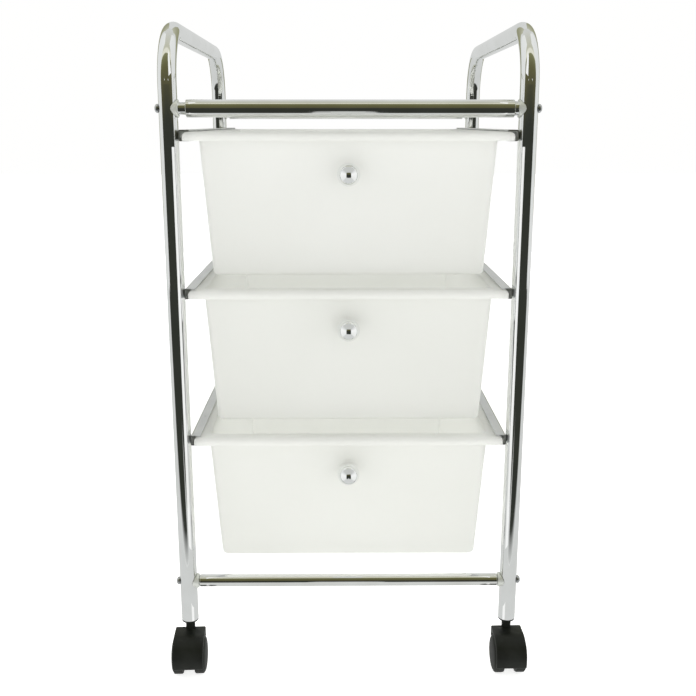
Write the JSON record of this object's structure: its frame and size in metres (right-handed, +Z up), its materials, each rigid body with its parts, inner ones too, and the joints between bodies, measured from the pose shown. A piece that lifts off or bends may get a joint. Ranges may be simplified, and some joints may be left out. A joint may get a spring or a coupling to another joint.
{
  "type": "rolling drawer cart",
  "caption": "Rolling storage cart: chromed tube side frames joined by cross bars, open tray drawers hung by their rims in channel rails, ball knobs, twin-wheel casters.",
  "frame": {"origin": "on the floor, under the middle of the bounding box", "axes": "+Z up, -Y out of the drawer fronts, +X to the right for a person facing the fronts"},
  "size_m": [0.349, 0.401, 0.6162],
  "materials": {
    "chromed_tube": "bright chrome plating on bent steel tube, faint fine scratches",
    "chromed_knob": "bright polished chrome ball",
    "plated_fitting": "satin plated end fittings that cup the legs",
    "plated_rail": "folded sheet steel, zinc plated, dull grey",
    "steel_fastener": "zinc plated screws, pins and stems",
    "milky_plastic": "translucent milky white moulded plastic, fine satin texture",
    "black_plastic": "black moulded plastic, slight sheen",
    "caster_tread": "black hard plastic wheels, tread slightly scuffed"
  },
  "bodies": {
    "frame": {"side_frame_left": "chromed_tube", "side_frame_right": "chromed_tube", "top_bar_front": "chromed_tube", "top_bar_front_end_left": "plated_fitting", "top_bar_front_end_right": "plated_fitting", "top_bar_front_screw_left": "steel_fastener", "top_bar_front_screw_right": "steel_fastener", "top_bar_rear": "chromed_tube", "top_bar_rear_end_left": "plated_fitting", "top_bar_rear_end_right": "plated_fitting", "top_bar_rear_screw_left": "steel_fastener", "top_bar_rear_screw_right": "steel_fastener", "low_bar_front": "chromed_tube", "low_bar_front_end_left": "plated_fitting", "low_bar_front_end_right": "plated_fitting", "low_bar_front_screw_left": "steel_fastener", "low_bar_front_screw_right": "steel_fastener", "low_bar_rear": "chromed_tube", "low_bar_rear_end_left": "plated_fitting", "low_bar_rear_end_right": "plated_fitting", "low_bar_rear_screw_left": "steel_fastener", "low_bar_rear_screw_right": "steel_fastener", "rail_upper_left": "plated_rail", "rail_upper_right": "plated_rail", "rail_middle_left": "plated_rail", "rail_middle_right": "plated_rail", "rail_lower_left": "plated_rail", "rail_lower_right": "plated_rail", "caster_front_left_socket": "black_plastic", "caster_front_left_stem": "steel_fastener", "caster_front_right_socket": "black_plastic", "caster_front_right_stem": "steel_fastener", "caster_rear_left_socket": "black_plastic", "caster_rear_left_stem": "steel_fastener", "caster_rear_right_socket": "black_plastic", "caster_rear_right_stem": "steel_fastener"},
    "drawer_upper": {"drawer_upper": "milky_plastic", "drawer_upper_knob": "chromed_knob"},
    "drawer_middle": {"drawer_middle": "milky_plastic", "drawer_middle_knob": "chromed_knob"},
    "drawer_lower": {"drawer_lower": "milky_plastic", "drawer_lower_knob": "chromed_knob"},
    "caster_front_left": {"caster_front_left_hood": "black_plastic", "caster_front_left_axle": "steel_fastener"},
    "caster_front_left_wheel_left": {"caster_front_left_wheel_left": "caster_tread"},
    "caster_front_left_wheel_right": {"caster_front_left_wheel_right": "caster_tread"},
    "caster_front_right": {"caster_front_right_hood": "black_plastic", "caster_front_right_axle": "steel_fastener"},
    "caster_front_right_wheel_left": {"caster_front_right_wheel_left": "caster_tread"},
    "caster_front_right_wheel_right": {"caster_front_right_wheel_right": "caster_tread"},
    "caster_rear_left": {"caster_rear_left_hood": "black_plastic", "caster_rear_left_axle": "steel_fastener"},
    "caster_rear_left_wheel_left": {"caster_rear_left_wheel_left": "caster_tread"},
    "caster_rear_left_wheel_right": {"caster_rear_left_wheel_right": "caster_tread"},
    "caster_rear_right": {"caster_rear_right_hood": "black_plastic", "caster_rear_right_axle": "steel_fastener"},
    "caster_rear_right_wheel_left": {"caster_rear_right_wheel_left": "caster_tread"},
    "caster_rear_right_wheel_right": {"caster_rear_right_wheel_right": "caster_tread"}
  },
  "joints": [
    {"name": "drawer_upper_slide", "type": "slide", "parent": "frame", "child": "drawer_upper", "axis": [0, -1, 0], "range_m": [0, 0.28]},
    {"name": "drawer_middle_slide", "type": "slide", "parent": "frame", "child": "drawer_middle", "axis": [0, -1, 0], "range_m": [0, 0.28]},
    {"name": "drawer_lower_slide", "type": "slide", "parent": "frame", "child": "drawer_lower", "axis": [0, -1, 0], "range_m": [0, 0.28]},
    {"name": "caster_front_left_swivel", "type": "hinge", "parent": "frame", "child": "caster_front_left", "pos_m": [-0.15725, -0.1623, 0.043], "axis": [0, 0, 1], "continuous": true},
    {"name": "caster_front_left_wheel_left_spin", "type": "hinge", "parent": "caster_front_left", "child": "caster_front_left_wheel_left", "pos_m": [-0.16858, -0.17781, 0.0183], "axis": [0.999, 0.0436, 0], "continuous": true},
    {"name": "caster_front_left_wheel_right_spin", "type": "hinge", "parent": "caster_front_left", "child": "caster_front_left_wheel_right", "pos_m": [-0.14461, -0.17676, 0.0183], "axis": [0.999, 0.0436, 0], "continuous": true},
    {"name": "caster_front_right_swivel", "type": "hinge", "parent": "frame", "child": "caster_front_right", "pos_m": [0.15725, -0.1623, 0.043], "axis": [0, 0, 1], "continuous": true},
    {"name": "caster_front_right_wheel_left_spin", "type": "hinge", "parent": "caster_front_right", "child": "caster_front_right_wheel_left", "pos_m": [0.14551, -0.17751, 0.0183], "axis": [0.9998, 0.0175, 0], "continuous": true},
    {"name": "caster_front_right_wheel_right_spin", "type": "hinge", "parent": "caster_front_right", "child": "caster_front_right_wheel_right", "pos_m": [0.16951, -0.17709, 0.0183], "axis": [0.9998, 0.0175, 0], "continuous": true},
    {"name": "caster_rear_left_swivel", "type": "hinge", "parent": "frame", "child": "caster_rear_left", "pos_m": [-0.15725, 0.1935, 0.043], "axis": [0, 0, 1], "continuous": true},
    {"name": "caster_rear_left_wheel_left_spin", "type": "hinge", "parent": "caster_rear_left", "child": "caster_rear_left_wheel_left", "pos_m": [-0.16676, 0.17681, 0.0183], "axis": [0.9877, 0.1564, 0], "continuous": true},
    {"name": "caster_rear_left_wheel_right_spin", "type": "hinge", "parent": "caster_rear_left", "child": "caster_rear_left_wheel_right", "pos_m": [-0.14305, 0.18056, 0.0183], "axis": [0.9877, 0.1564, 0], "continuous": true},
    {"name": "caster_rear_right_swivel", "type": "hinge", "parent": "frame", "child": "caster_rear_right", "pos_m": [0.15725, 0.1935, 0.043], "axis": [0, 0, 1], "continuous": true},
    {"name": "caster_rear_right_wheel_left_spin", "type": "hinge", "parent": "caster_rear_right", "child": "caster_rear_right_wheel_left", "pos_m": [0.14305, 0.18056, 0.0183], "axis": [0.9877, -0.1564, 0], "continuous": true},
    {"name": "caster_rear_right_wheel_right_spin", "type": "hinge", "parent": "caster_rear_right", "child": "caster_rear_right_wheel_right", "pos_m": [0.16676, 0.17681, 0.0183], "axis": [0.9877, -0.1564, 0], "continuous": true}
  ]
}
